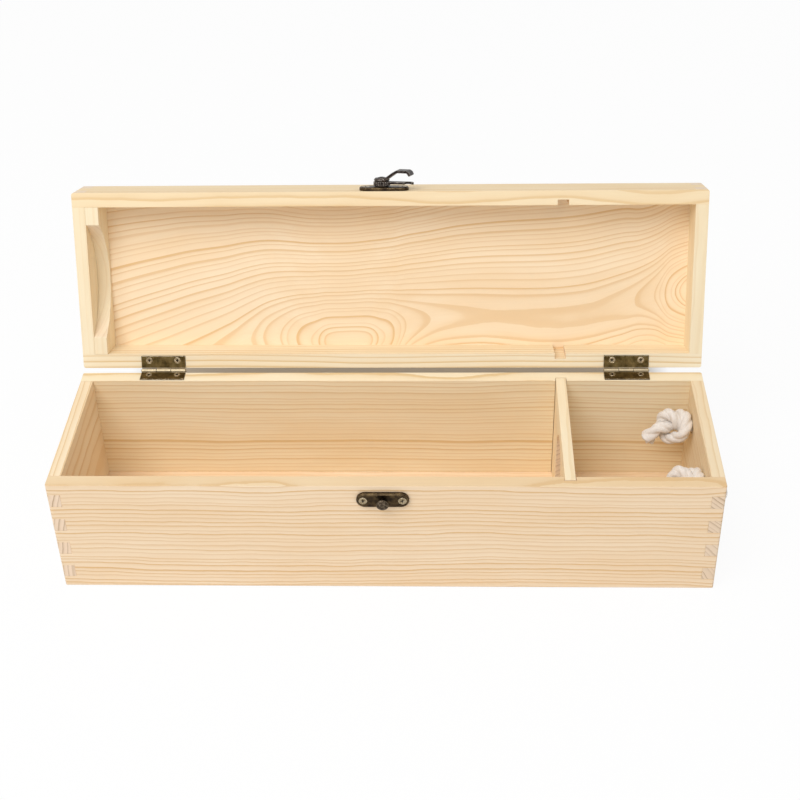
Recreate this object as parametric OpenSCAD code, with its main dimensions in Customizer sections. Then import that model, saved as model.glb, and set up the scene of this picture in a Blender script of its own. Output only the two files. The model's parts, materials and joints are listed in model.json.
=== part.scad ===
// A long wooden presentation box with a finger-jointed body and a hinged lid.
// The body has a divider that slides in two grooves, a catch stud on its front
// and a rope handle at its right end. The lid stands open as modelled.
// The origin is the middle of the underside, +X is to the right, +Y to the back
// and +Z up. Lengths are in millimetres.

/* [Box] */
// Outside length of the box
box_l = 350; // [300:5:420]
// Outside depth of the box, from front to back
box_w = 100; // [94:1:130]
// Height of the body, from the table to its rim
body_h = 71; // [68:1:90]
// Height of the lid, from its rim to its top
lid_h = 27; // [25:1:40]
// Thickness of the end walls, in the body and in the lid
end_t = 7; // [6:0.5:9]
// Thickness of the long walls, in the body and in the lid
side_t = 8; // [7:0.5:11]
// Thickness of the floor panel
floor_t = 5; // [4:0.5:6.5]
// Thickness of the lid's panel
panel_t = 6; // [4:0.5:8]
// How deep the edge of a panel sits in the walls around it
rebate_w = 3; // [2:0.5:5]
// Rounding of the box's outer edges
edge_r = 1.2; // [0.5:0.1:2]
// Gap between the two rims when the lid is shut
rim_gap = 1; // [0.8:0.1:1.6]
// How far the lid stands open
open_angle = 110; // [95:1:115]

/* [Finger joints] */
// Height at which the lowest finger of the end walls begins
finger_start = 7; // [6:0.5:12]
// Height of one finger
finger_h = 8.2; // [6:0.2:12]

/* [Divider] */
// Thickness of the divider
divider_t = 5.6; // [4:0.2:8]
// Distance from the right end of the box to the divider's middle
divider_inset = 79; // [60:1:120]
// Depth of the grooves that hold the divider
groove_depth = 3; // [2:0.5:4]
// Clearance of the divider in its grooves, on each side
groove_fit = 0.3; // [0.2:0.05:0.5]
// Width of the arch in the divider
arch_w = 35; // [28:1:44]
// Height of the arch's centre above the table
arch_z = 43; // [34:1:46]

/* [Cradle strip] */
// Thickness of the strip in the lid's left end
cradle_t = 7.3; // [5:0.1:12]
// Radius of its scoop
scoop_r = 37; // [32:0.5:40]
// Distance from the lid's rim down to the centre of the scoop
scoop_drop = 18.5; // [17:0.5:22]

/* [Hinges] */
// Length of a hinge
hinge_len = 25; // [20:1:32]
// Distance from the left end of the box to the middle of the left hinge
hinge_left_inset = 46; // [35:1:80]
// Distance from the right end of the box to the middle of the right hinge
hinge_right_inset = 42; // [35:1:80]
// Thickness of a leaf
leaf_t = 0.9; // [0.7:0.1:1.2]
// Width of a leaf, from the hinge's axis to its far edge
leaf_w = 8.4; // [7.8:0.1:9]
// Gap between the two leaves when the lid is shut
leaf_gap = 0.1; // [0.06:0.02:0.2]
// Outer diameter of a knuckle
knuckle_d = 2.6; // [2.4:0.1:3]
// Gap between two knuckles
knuckle_gap = 0.3; // [0.2:0.05:0.5]
// Diameter of the hinge pin
pin_d = 1.3; // [1.1:0.1:1.5]
// How far the pin stands out at each end of the hinge
pin_out = 0.4; // [0.2:0.1:1]
// Distance between the two screws of a leaf
hinge_screw_pitch = 16; // [13:0.5:18]
// Distance from the hinge's axis to the screws of the body's leaf
body_screw_row = 3.6; // [3.4:0.1:4]
// Distance from the hinge's axis to the screws of the lid's leaf
lid_screw_row = 6; // [5.4:0.1:6.2]

/* [Catch and latch] */
// Length of a plate
plate_l = 27.3; // [24:0.1:32]
// Width of a plate
plate_w = 9; // [8:0.1:11]
// Thickness of a plate
plate_t = 2; // [1.5:0.1:2.5]
// Width of the slope around a plate's face
plate_bevel = 0.6; // [0.3:0.1:1]
// Distance between the two screws of a plate
plate_screw_pitch = 20.4; // [18:0.2:22]
// Distance from the middle of the box to the catch plate's middle
catch_x = -0.3; // [-5:0.1:5]
// Distance from the body's rim down to the catch plate's middle
catch_drop = 8.3; // [7:0.1:11]
// Distance from the middle of the box to the latch plate's middle
latch_x = -2.2; // [-5:0.1:5]
// Distance from the lid's rim up to the latch plate's middle
latch_rise = 5.5; // [5:0.1:8]
// Distance from the latch plate's middle to the hook's pivot
hook_offset = -1.2; // [-3:0.1:3]
// Diameter of the stud's neck
neck_d = 3; // [2.4:0.1:3.6]
// Diameter of the stud's head
stud_head_d = 6.4; // [5.4:0.1:8]
// Height of the stud's head above the wall
stud_h = 6.5; // [6:0.1:8]
// Thickness of the stud's head
stud_head_t = 1.5; // [1:0.1:1.6]
// Diameter of the hook's drum
drum_d = 8.6; // [7:0.1:10]
// Height of the drum's top above the wall
drum_top = 6.6; // [6:0.1:8]
// Diameter of the hook's rivet
rivet_d = 3; // [2:0.1:4]
// Thickness of the hook's blade
blade_t = 1.2; // [0.8:0.1:1.2]
// Height of the blade's underside above the wall
blade_z = 3.5; // [3.2:0.1:3.6]
// Width of the hook's ring around the stud
blade_rim = 1.3; // [1:0.1:2]
// Thickness of the thumb tab
tab_t = 1.4; // [1:0.1:1.6]
// Width of the thumb tab
tab_w = 7; // [5:0.1:8]
// Angle by which the hook hangs from level when it is unhooked
hook_tilt = 15; // [0:1:25]

/* [Screws] */
// Diameter of a hinge screw's head
hinge_head_d = 3.4; // [2.8:0.1:3.6]
// Diameter of a hinge screw's shank
hinge_shank_d = 1.6; // [1.2:0.1:2]
// Length of a hinge screw
hinge_screw_l = 9; // [6:0.5:12]
// Diameter of a plate screw's head
plate_head_d = 4.2; // [3.6:0.1:5]
// Diameter of a plate screw's shank
plate_shank_d = 2; // [1.6:0.1:2.4]
// Length of a plate screw
plate_screw_l = 7; // [5:0.5:8]
// Depth of a screw's countersunk head
head_depth = 1.2; // [0.9:0.1:1.4]
// Width of the cross in a screw's head
cross_w = 0.5; // [0.3:0.1:0.7]
// Depth of the cross in a screw's head
cross_depth = 0.5; // [0.3:0.1:0.7]

/* [Rope handle] */
// Diameter of the rope
rope_d = 6; // [5:0.5:7]
// Diameter of the holes for the rope
rope_hole_d = 8; // [7:0.5:10]
// Diameter of a hole's flared mouth on the outside
rope_mouth_d = 16; // [13:0.5:18]
// Depth of the flare
rope_mouth_depth = 4; // [3:0.5:4.5]
// Size of a knot across its turns
knot_d = 20; // [17:0.5:22]

/* [Hidden] */
$fn = 64;

PINE = [0.95, 0.85, 0.70];
PALE_PINE = [0.98, 0.90, 0.77];
BRASS = [0.42, 0.32, 0.16];
DARK_BRASS = [0.30, 0.27, 0.24];
COTTON = [0.96, 0.94, 0.90];

// Clearance around a screw, a rivet or a hinge pin
pin_fit = 0.05;
// Clearance around a leaf in its recess, and around a knuckle in the other leaf
leaf_fit = 0.15;
// Height that is too small to be a finger of its own
finger_min = 0.05;
// The depth that a rivet or a stud reaches into the wood
rivet_depth = 4;

inner_l = box_l - 2 * end_t;
inner_w = box_w - 2 * side_t;
closed_h = body_h + lid_h;
panel_under = closed_h - panel_t;

divider_x = box_l / 2 - divider_inset;
groove_w = divider_t + 2 * groove_fit;

// The hinge's axis lies halfway between the rims, just behind the back wall
pivot_y = box_w / 2 + knuckle_d / 2 + leaf_fit;
pivot_z = body_h + rim_gap / 2;
hinge_left_x = hinge_left_inset - box_l / 2;
hinge_right_x = box_l / 2 - hinge_right_inset;
knuckle_pitch = hinge_len / 3;

catch_z = body_h - catch_drop;
hook_x = latch_x + hook_offset;
hook_z = body_h + latch_rise;
// The stud as the hook's pivot sees it when the lid is shut
stud_dx = catch_x - hook_x;
stud_dz = latch_rise + rim_gap + catch_drop;
hook_reach = sqrt(stud_dx * stud_dx + stud_dz * stud_dz);
// Clearance of the hook around the stud's neck, and of the drum over its plate
hook_fit = 0.3;
mouth_r = neck_d / 2 + hook_fit;
ring_r = mouth_r + blade_rim;

// The rope's way out of its back hole and down to the bottom of the handle, given
// as X outward from the wall's inner face, Y and Z. The front half mirrors it.
half_route = [
    [0, 25, 52], [3.5, 24.5, 51.5], [6.5, 24, 50], [9, 23, 48], [10.5, 22, 45.5],
    [11.5, 20, 42], [11.5, 18.5, 38.5], [11, 17.5, 34.5], [11, 17, 30.5], [11, 16, 26],
    [11, 13.5, 21.5], [11, 10, 17.5], [11, 5.5, 15], [11, 0, 14]];
// The point of the route that the handle swings about
swing_index = 3;
rope_hole_y = half_route[0][1];
rope_hole_z = half_route[0][2];
rope_sides = 12;
// Gap between the rope in the wall and the rope of the handle
rope_gap = 0.3;
// Distance from a knot's middle to the wall that it bears on
knot_seat = knot_d * 0.44;
// Length of the knot's tail, and its direction as angles from +X and around it
knot_tail = 6;
tail_from_x = 125;
tail_around = 190;

// ---------------------------------------------------------------- helpers

// A rectangle with round corners, about the origin
module round_square(w, h, r) {
    square([w - 2 * r, h], center = true);
    square([w, h - 2 * r], center = true);
    for (sx = [-1, 1], sy = [-1, 1])
        translate([sx * (w / 2 - r), sy * (h / 2 - r)]) circle(r);
}

// The outside of the whole box, as if the two rims touched
module closed_box() {
    translate([0, 0, closed_h / 2])
        intersection() {
            linear_extrude(closed_h, center = true) round_square(box_l, box_w, edge_r);
            rotate([90, 0, 0])
                linear_extrude(box_w, center = true) round_square(box_l, closed_h, edge_r);
            rotate([90, 0, 90])
                linear_extrude(box_l, center = true) round_square(box_w, closed_h, edge_r);
        }
}

// A block over the whole plan of the box, between two heights
module layer(low, high) {
    translate([-box_l / 2, -box_w / 2, low]) cube([box_l, box_w, high - low]);
}

// The box's plan behind one long wall's inner face: side is 1 for the back, -1 for the front
module beyond_side(side, low, high) {
    translate([-box_l / 2, side > 0 ? inner_w / 2 : -box_w / 2, low])
        cube([box_l, side_t, high - low]);
}

// The box's plan beyond one end wall's inner face: end is 1 for the right, -1 for the left
module beyond_end(end, low, high) {
    translate([end > 0 ? inner_l / 2 : -box_l / 2, -box_w / 2, low])
        cube([end_t, box_w, high - low]);
}

function finger_z(k) = finger_start + k * finger_h;

// The heights that belong to the fingers of the end walls, between low and high
module finger_layers(low, high) {
    for (k = [0 : 2 : ceil((high - finger_start) / finger_h)]) {
        bottom = max(low, finger_z(k));
        top = min(high, finger_z(k + 1));
        if (top - bottom > finger_min)
            layer(bottom, top);
    }
}

// A long wall with the end walls' fingers cut out of its ends
module long_wall(side, low, high) {
    difference() {
        intersection() {
            closed_box();
            beyond_side(side, low, high);
        }
        for (end = [-1, 1])
            intersection() {
                beyond_end(end, low, high);
                finger_layers(low, high);
            }
    }
}

// An end wall with its fingers reaching through the long walls
module end_wall(end, low, high) {
    intersection() {
        closed_box();
        beyond_end(end, low, high);
        union() {
            translate([-box_l / 2, -inner_w / 2, low]) cube([box_l, inner_w, high - low]);
            finger_layers(low, high);
        }
    }
}

// A panel's full size, with its edges in the rebates of the walls
module panel(low, high) {
    translate([-inner_l / 2 - rebate_w, -inner_w / 2 - rebate_w, low])
        cube([inner_l + 2 * rebate_w, inner_w + 2 * rebate_w, high - low]);
}

// Both grooves of the divider, between two heights
module divider_grooves(low, high) {
    width = inner_w + 2 * groove_depth;
    translate([divider_x - groove_w / 2, -width / 2, low])
        cube([groove_w, width, high - low]);
}

// Places a part of the lid, drawn in the closed box, into the open lid
module in_lid() {
    about_hinge(-open_angle) translate([0, 0, rim_gap]) children();
}

// Turns its children about the hinge's axis
module about_hinge(angle) {
    translate([0, pivot_y, pivot_z])
        rotate([angle, 0, 0])
            translate([0, -pivot_y, -pivot_z]) children();
}

// Puts a part on the front of the box, with its own X to the right, Y up and Z outward
module on_front(x, z) {
    translate([x, -box_w / 2, z]) rotate([90, 0, 0]) children();
}

// A countersunk wood screw with its head's face at Z = 0, pointing down
module screw(head_d, shank_d, length) {
    tip = shank_d;
    difference() {
        rotate_extrude()
            polygon([[0, -length], [shank_d / 2, tip - length], [shank_d / 2, -head_depth],
                     [head_d / 2, 0], [0, 0]]);
        for (turn = [0, 90])
            rotate([0, 0, turn])
                cube([head_d * 0.6, cross_w, 2 * cross_depth], center = true);
    }
}

// The space that such a screw takes in the pieces it holds
module screw_hole(head_d, shank_d, length) {
    rotate_extrude()
        polygon([[0, -length - pin_fit], [shank_d / 2 + pin_fit, -length - pin_fit],
                 [shank_d / 2 + pin_fit, -head_depth], [head_d / 2 + pin_fit, 0],
                 [head_d / 2 + pin_fit, 1], [0, 1]]);
}

// ---------------------------------------------------------------- body

module front_wall() {
    color(PINE)
        difference() {
            long_wall(-1, 0, body_h);
            panel(0, floor_t);
            divider_grooves(floor_t, body_h + 1);
            catch_fixings();
        }
}

module back_wall() {
    color(PINE)
        difference() {
            long_wall(1, 0, body_h);
            panel(0, floor_t);
            divider_grooves(floor_t, body_h + 1);
            for (x = [hinge_left_x, hinge_right_x])
                leaf_recess(x, body_screw_row);
        }
}

module left_end_wall() {
    color(PALE_PINE)
        difference() {
            end_wall(-1, 0, body_h);
            panel(0, floor_t);
        }
}

module right_end_wall() {
    color(PALE_PINE)
        difference() {
            end_wall(1, 0, body_h);
            panel(0, floor_t);
            for (side = [-1, 1])
                translate([inner_l / 2, side * rope_hole_y, rope_hole_z])
                    rotate([0, 90, 0]) rope_hole();
        }
}

// One hole for the rope, flared on the outside so that the rope bends gently
module rope_hole() {
    translate([0, 0, -1]) cylinder(h = end_t + 2, d = rope_hole_d);
    translate([0, 0, end_t - rope_mouth_depth])
        cylinder(h = rope_mouth_depth, d1 = rope_hole_d, d2 = rope_mouth_d);
}

module floor_panel() {
    color(PINE)
        intersection() {
            closed_box();
            panel(0, floor_t);
        }
}

// The divider, with an arch that is open at the bottom
module divider_board() {
    width = inner_w + 2 * (groove_depth - groove_fit);
    color(PALE_PINE)
        difference() {
            translate([divider_x - divider_t / 2, -width / 2, floor_t])
                cube([divider_t, width, body_h - floor_t]);
            translate([divider_x - divider_t, 0, arch_z])
                rotate([0, 90, 0]) cylinder(h = 2 * divider_t, d = arch_w);
            translate([divider_x - divider_t, -arch_w / 2, 0])
                cube([2 * divider_t, arch_w, arch_z]);
        }
}

// ---------------------------------------------------------------- lid

module lid_front_rail() {
    color(PINE)
        in_lid()
            difference() {
                long_wall(-1, body_h, closed_h);
                panel(panel_under, closed_h);
                divider_grooves(body_h - 1, panel_under);
                latch_fixings();
            }
}

module lid_back_rail() {
    color(PINE)
        difference() {
            in_lid()
                difference() {
                    long_wall(1, body_h, closed_h);
                    panel(panel_under, closed_h);
                    divider_grooves(body_h - 1, panel_under);
                }
            about_hinge(-open_angle)
                over_the_leaf()
                    for (x = [hinge_left_x, hinge_right_x])
                        leaf_recess(x, lid_screw_row);
        }
}

module lid_left_rail() {
    color(PALE_PINE)
        in_lid()
            difference() {
                end_wall(-1, body_h, closed_h);
                panel(panel_under, closed_h);
            }
}

module lid_right_rail() {
    color(PALE_PINE)
        in_lid()
            difference() {
                end_wall(1, body_h, closed_h);
                panel(panel_under, closed_h);
            }
}

module lid_panel() {
    color(PINE)
        in_lid()
            intersection() {
                closed_box();
                panel(panel_under, closed_h);
            }
}

// The scooped strip across the lid's left end
module cradle_strip() {
    color(PALE_PINE)
        in_lid()
            difference() {
                translate([-inner_l / 2, -inner_w / 2, body_h])
                    cube([cradle_t, inner_w, panel_under - body_h]);
                translate([-inner_l / 2 - 1, 0, body_h - scoop_drop])
                    rotate([0, 90, 0]) cylinder(h = cradle_t + 2, r = scoop_r);
            }
}

// ---------------------------------------------------------------- hinges

// Swaps the body's side of the shut hinge for the lid's side
module over_the_leaf() {
    translate([0, 0, 2 * pivot_z]) mirror([0, 0, 1]) children();
}

// A leaf's plate, on the body's side of the shut hinge
module leaf_plate(x) {
    translate([x - hinge_len / 2, pivot_y - leaf_w, pivot_z - leaf_gap / 2 - leaf_t])
        cube([hinge_len, leaf_w, leaf_t]);
}

// Where a leaf's two screws go
module at_leaf_screws(x, row) {
    for (side = [-1, 1])
        translate([x + side * hinge_screw_pitch / 2, pivot_y - row, pivot_z - leaf_gap / 2])
            children();
}

module hinge_screw_hole() {
    screw_hole(hinge_head_d, hinge_shank_d, hinge_screw_l);
}

// The recess and the screw holes that a leaf needs in the wood
module leaf_recess(x, row) {
    translate([x - hinge_len / 2 - leaf_fit, pivot_y - leaf_w - leaf_fit,
               pivot_z - leaf_gap / 2 - leaf_t])
        cube([hinge_len + 2 * leaf_fit, leaf_w + leaf_fit, rim_gap + leaf_t]);
    at_leaf_screws(x, row) hinge_screw_hole();
}

// A round bar along the hinge's axis, between two places along the hinge
module hinge_bar(x, from, to, diameter) {
    translate([x + from, pivot_y, pivot_z])
        rotate([0, 90, 0]) cylinder(h = to - from, d = diameter);
}

// The stretch of one knuckle, counted from the left
function knuckle_from(k) = (k - 1.5) * knuckle_pitch + knuckle_gap / 2;
function knuckle_to(k) = (k - 0.5) * knuckle_pitch - knuckle_gap / 2;

// A leaf with its own knuckles, cut back where the other leaf's knuckles are
module leaf(x, row, own, other) {
    difference() {
        union() {
            difference() {
                leaf_plate(x);
                for (k = other)
                    translate([x + knuckle_from(k) - knuckle_gap,
                               pivot_y - knuckle_d / 2 - leaf_fit, pivot_z - knuckle_d])
                        cube([knuckle_pitch + knuckle_gap, knuckle_d, 2 * knuckle_d]);
            }
            for (k = own)
                hinge_bar(x, max(knuckle_from(k), -hinge_len / 2),
                          min(knuckle_to(k), hinge_len / 2), knuckle_d);
        }
        hinge_bar(x, -hinge_len, hinge_len, pin_d + 2 * pin_fit);
        at_leaf_screws(x, row) hinge_screw_hole();
    }
}

module body_leaf(x) {
    color(BRASS) leaf(x, body_screw_row, [0, 2], [1]);
}

module lid_leaf(x) {
    color(BRASS)
        about_hinge(-open_angle)
            over_the_leaf() leaf(x, lid_screw_row, [1], [0, 2]);
}

module hinge_pin(x) {
    color(BRASS)
        hinge_bar(x, -hinge_len / 2 - pin_out, hinge_len / 2 + pin_out, pin_d);
}

// One screw of a hinge: side is -1 for the left one and 1 for the right one
module hinge_screw(x, row, side) {
    translate([x + side * hinge_screw_pitch / 2, pivot_y - row, pivot_z - leaf_gap / 2])
        screw(hinge_head_d, hinge_shank_d, hinge_screw_l);
}

module body_screw(x, side) {
    color(BRASS) hinge_screw(x, body_screw_row, side);
}

module lid_screw(x, side) {
    color(BRASS)
        about_hinge(-open_angle)
            over_the_leaf() hinge_screw(x, lid_screw_row, side);
}

// ---------------------------------------------------------------- catch and latch

// A plate with round ends and a sloped edge, lying on Z = 0
module plate_body() {
    half = (plate_l - plate_w) / 2;
    flat_h = plate_t - plate_bevel;
    for (side = [-1, 1])
        translate([side * half, 0, 0]) {
            cylinder(h = flat_h, d = plate_w);
            translate([0, 0, flat_h])
                cylinder(h = plate_bevel, d1 = plate_w, d2 = plate_w - 2 * plate_bevel);
        }
    rotate([90, 0, 90])
        linear_extrude(2 * half, center = true)
            polygon([[-plate_w / 2, 0], [plate_w / 2, 0], [plate_w / 2, flat_h],
                     [plate_w / 2 - plate_bevel, plate_t],
                     [plate_bevel - plate_w / 2, plate_t], [-plate_w / 2, flat_h]]);
}

module plate_screw_hole() {
    screw_hole(plate_head_d, plate_shank_d, plate_screw_l);
}

// Where a plate's two screws go, at the plate's face
module at_plate_screws() {
    for (side = [-1, 1])
        translate([side * plate_screw_pitch / 2, 0, plate_t]) children();
}

// A plate with its screw holes and a hole for its rivet or stud
module fixed_plate(hole_x, hole_d) {
    difference() {
        plate_body();
        at_plate_screws() plate_screw_hole();
        translate([hole_x, 0, -1]) cylinder(h = plate_t + 2, d = hole_d + 2 * pin_fit);
    }
}

// What a plate's screws and its rivet or stud take out of the wood
module plate_fixings(hole_x, hole_d) {
    at_plate_screws() plate_screw_hole();
    translate([hole_x, 0, -rivet_depth - pin_fit])
        cylinder(h = rivet_depth + 1, d = hole_d + 2 * pin_fit);
}

module catch_fixings() {
    on_front(catch_x, catch_z) plate_fixings(0, neck_d);
}

module latch_fixings() {
    on_front(latch_x, hook_z) plate_fixings(hook_offset, rivet_d);
}

module catch_plate() {
    color(BRASS)
        on_front(catch_x, catch_z) fixed_plate(0, neck_d);
}

// The round-headed stud that the hook catches
module catch_stud() {
    head_round = stud_head_t / 3;
    under_head = stud_h - stud_head_t;
    color(BRASS)
        on_front(catch_x, catch_z)
            rotate_extrude()
                polygon([[0, -rivet_depth], [neck_d / 2, -rivet_depth],
                         [neck_d / 2, under_head], [stud_head_d / 2, under_head],
                         [stud_head_d / 2, stud_h - 2 * head_round],
                         [stud_head_d / 2 - head_round, stud_h - head_round],
                         [stud_head_d / 4, stud_h], [0, stud_h]]);
}

module plate_screw(side) {
    translate([side * plate_screw_pitch / 2, 0, plate_t])
        screw(plate_head_d, plate_shank_d, plate_screw_l);
}

module catch_screw(side) {
    color(BRASS) on_front(catch_x, catch_z) plate_screw(side);
}

module latch_screw(side) {
    color(BRASS) in_lid() on_front(latch_x, hook_z) plate_screw(side);
}

module latch_plate() {
    color(BRASS)
        in_lid() on_front(latch_x, hook_z) fixed_plate(hook_offset, rivet_d);
}

// The rivet that the hook turns on, with a low round head over the drum
module latch_rivet() {
    head_r = rivet_d * 0.75;
    head_z = drum_top + pin_fit;
    color(DARK_BRASS)
        in_lid()
            on_front(hook_x, hook_z)
                rotate_extrude()
                    polygon([[0, -rivet_depth], [rivet_d / 2, -rivet_depth],
                             [rivet_d / 2, head_z], [head_r, head_z],
                             [head_r * 0.8, head_z + 0.4], [head_r * 0.4, head_z + 0.6],
                             [0, head_z + 0.6]]);
}

// A bent strip of even thickness along the points of a path
module bent_strip(path, thickness) {
    for (i = [0 : len(path) - 2]) {
        way = path[i + 1] - path[i];
        translate(path[i])
            rotate(atan2(way[1], way[0]))
                translate([0, -thickness / 2]) square([norm(way), thickness]);
    }
    for (point = path)
        translate(point) circle(thickness / 2, $fn = 32);
}

// The blade's outline, seen from outside: a horn whose mouth opens downward
module blade_outline() {
    root = drum_d * 0.3;
    difference() {
        union() {
            polygon([[0, root], [hook_reach, ring_r], [hook_reach, 0],
                     [hook_reach - mouth_r, -blade_rim * 0.8], [0, -root]]);
            translate([hook_reach, 0]) circle(ring_r);
        }
        translate([hook_reach, 0]) circle(mouth_r);
        translate([hook_reach - mouth_r, -2 * ring_r]) square([2 * mouth_r, 2 * ring_r]);
        polygon([[hook_reach, -ring_r / 2], [hook_reach + ring_r, ring_r / 8],
                 [hook_reach + ring_r, -2 * ring_r], [hook_reach - ring_r, -2 * ring_r],
                 [hook_reach - ring_r, -ring_r / 2]]);
    }
}

// The thumb tab's side view: it rises from the drum, runs level and curls down
function tab_path() = [
    [drum_d * 0.2, drum_top - tab_t / 2], [drum_d * 0.4, drum_top + 0.1],
    [hook_reach * 0.5, drum_top + 3], [hook_reach * 0.62, drum_top + 4],
    [hook_reach, drum_top + 4], [hook_reach * 1.06, drum_top + 3.5],
    [hook_reach * 1.1, drum_top + 2.4]];

// The swinging hook: a grooved drum with the horn blade below and the thumb tab above
module latch_hook() {
    drum_r = drum_d / 2;
    drum_z = plate_t + hook_fit;
    groove_z = drum_top - 1.5;
    color(DARK_BRASS)
        in_lid()
            on_front(hook_x, hook_z)
                rotate([0, 0, -hook_tilt])
                    difference() {
                        union() {
                            rotate_extrude()
                                polygon([[0, drum_z], [drum_r - 0.4, drum_z],
                                         [drum_r, drum_z + 0.4], [drum_r, groove_z - 0.3],
                                         [drum_r - 0.5, groove_z], [drum_r, groove_z + 0.3],
                                         [drum_r, drum_top - 0.6],
                                         [drum_r - 0.6, drum_top], [0, drum_top]]);
                            translate([0, 0, blade_z])
                                linear_extrude(blade_t) blade_outline();
                            rotate([90, 0, 0])
                                linear_extrude(tab_w, center = true)
                                    bent_strip(tab_path(), tab_t);
                        }
                        translate([0, 0, -1]) cylinder(h = 2 * drum_top, d = rivet_d + 2 * pin_fit);
                        translate([0, 0, drum_top]) cylinder(h = drum_top, d = rivet_d * 1.7);
                    }
}

// ---------------------------------------------------------------- rope handle

// A point of the route in the box: side is 1 for the back half and -1 for the front half
function route_point(point, side) = [inner_l / 2 + point[0], side * point[1], point[2]];

// The handle's route, from the swing point at the back to the one at the front
loop_route = concat(
    [for (i = [swing_index : len(half_route) - 1]) route_point(half_route[i], 1)],
    [for (i = [len(half_route) - 2 : -1 : swing_index]) route_point(half_route[i], -1)]);

// The rope in one hole of the wall: from the knot to just short of the swing point
function stub_route(side) =
    let (last = half_route[swing_index], before = half_route[swing_index - 1],
         back_off = rope_d / 2 + rope_gap - norm(last - before),
         way = before - half_route[swing_index - 2],
         end = before - way / norm(way) * back_off)
    concat([for (i = [0 : swing_index - 2]) route_point(half_route[i], side)],
           [route_point(end, side)]);

// The direction of a route at one of its points
function way_at(route, i) =
    let (way = route[min(i + 1, len(route) - 1)] - route[max(i - 1, 0)])
    way / norm(way);

// A direction that no stretch of the rope follows, from which its rings are turned
ring_reference = [1, 0, 0.3];

// A ring of points around a route's point
function ring_at(route, i, radius) =
    let (way = way_at(route, i),
         first = ring_reference - (ring_reference * way) * way,
         u = first / norm(first),
         v = cross(way, u))
    [for (s = [0 : rope_sides - 1])
        let (turn = 360 * s / rope_sides)
        route[i] + radius * (cos(turn) * u + sin(turn) * v)];

// The rings that close a tube with a round end, at one end of a route: end is -1 for
// its start and 1 for its finish
function cap_rings(route, end) =
    let (i = end < 0 ? 0 : len(route) - 1)
    [for (lift = end < 0 ? [80, 50, 25] : [25, 50, 80])
        [for (point = ring_at(route, i, rope_d / 2 * cos(lift)))
            point + end * rope_d / 2 * sin(lift) * way_at(route, i)]];

// A tube swept along a route, with flat or round ends
module rope_tube(route, round_ends = false) {
    body = [for (i = [0 : len(route) - 1]) ring_at(route, i, rope_d / 2)];
    all = round_ends ? concat(cap_rings(route, -1), body, cap_rings(route, 1)) : body;
    rings = len(all);
    points = [for (ring = all) each ring];
    sides = [for (i = [0 : rings - 2], s = [0 : rope_sides - 1])
        let (a = i * rope_sides + s, b = i * rope_sides + (s + 1) % rope_sides)
        each [[a, a + rope_sides, b + rope_sides], [a, b + rope_sides, b]]];
    start = [for (s = [0 : rope_sides - 1]) s];
    end = [for (s = [rope_sides - 1 : -1 : 0]) (rings - 1) * rope_sides + s];
    polyhedron(points, concat([start], sides, [end]), convexity = 4);
}

module rope_stub(side) {
    color(COTTON) rope_tube(stub_route(side));
}

module rope_loop() {
    color(COTTON) rope_tube(loop_route, round_ends = true);
}

// The angle between two directions that are given by their angle from +X and around it
function angle_between(from_x, around, from_x_2, around_2) =
    acos(cos(from_x) * cos(from_x_2) + sin(from_x) * sin(from_x_2) * cos(around - around_2));

// How far the knot reaches in a direction: four lobes around +X, and the tail
function knot_reach_at(from_x, around) =
    knot_d / 2 * (0.86 + 0.14 * cos(4 * (around - 20)) * sin(from_x))
    + knot_tail * exp(-pow(angle_between(from_x, around, tail_from_x, tail_around) / 20, 2));

// A ring of the knot's surface, at one angle from +X
function knot_ring(from_x, reach_limit) =
    [for (around = [0 : 15 : 345])
        let (reach = min(knot_reach_at(from_x, around), reach_limit))
        reach * [cos(from_x), sin(from_x) * sin(around), sin(from_x) * cos(around)]];

// A stopper knot, pressed flat against the end wall's inner face: its middle is knot_seat
// from the wall, and its first ring lies on the wall
module rope_knot(side) {
    rings = [for (from_x = [30 : 15 : 165])
        knot_ring(from_x, cos(from_x) > 0.2 ? knot_seat / cos(from_x) : knot_d)];
    sides = len(rings[0]);
    faces = [for (i = [0 : len(rings) - 2], s = [0 : sides - 1])
        let (a = i * sides + s, b = i * sides + (s + 1) % sides)
        each [[a, b, b + sides], [a, b + sides, a + sides]]];
    start = [for (s = [sides - 1 : -1 : 0]) s];
    end = [for (s = [0 : sides - 1]) (len(rings) - 1) * sides + s];
    color(COTTON)
        translate([inner_l / 2 - knot_seat, side * rope_hole_y, rope_hole_z])
            mirror([0, side < 0 ? 1 : 0, 0])
                polyhedron([for (ring = rings) each ring],
                           concat([start], faces, [end]), convexity = 4);
}

// ---------------------------------------------------------------- the nodes

front_wall();
back_wall();
left_end_wall();
right_end_wall();
floor_panel();
divider_board();
lid_front_rail();
lid_back_rail();
lid_left_rail();
lid_right_rail();
lid_panel();
cradle_strip();
body_leaf(hinge_left_x);  // hinge_left_body_leaf
lid_leaf(hinge_left_x);  // hinge_left_lid_leaf
hinge_pin(hinge_left_x);  // hinge_left_pin
body_screw(hinge_left_x, -1);  // hinge_left_body_screw_1
body_screw(hinge_left_x, 1);  // hinge_left_body_screw_2
lid_screw(hinge_left_x, -1);  // hinge_left_lid_screw_1
lid_screw(hinge_left_x, 1);  // hinge_left_lid_screw_2
body_leaf(hinge_right_x);  // hinge_right_body_leaf
lid_leaf(hinge_right_x);  // hinge_right_lid_leaf
hinge_pin(hinge_right_x);  // hinge_right_pin
body_screw(hinge_right_x, -1);  // hinge_right_body_screw_1
body_screw(hinge_right_x, 1);  // hinge_right_body_screw_2
lid_screw(hinge_right_x, -1);  // hinge_right_lid_screw_1
lid_screw(hinge_right_x, 1);  // hinge_right_lid_screw_2
catch_plate();
catch_stud();
catch_screw(-1);  // catch_screw_left
catch_screw(1);  // catch_screw_right
latch_plate();
latch_rivet();
latch_hook();
latch_screw(-1);  // latch_screw_left
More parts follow.
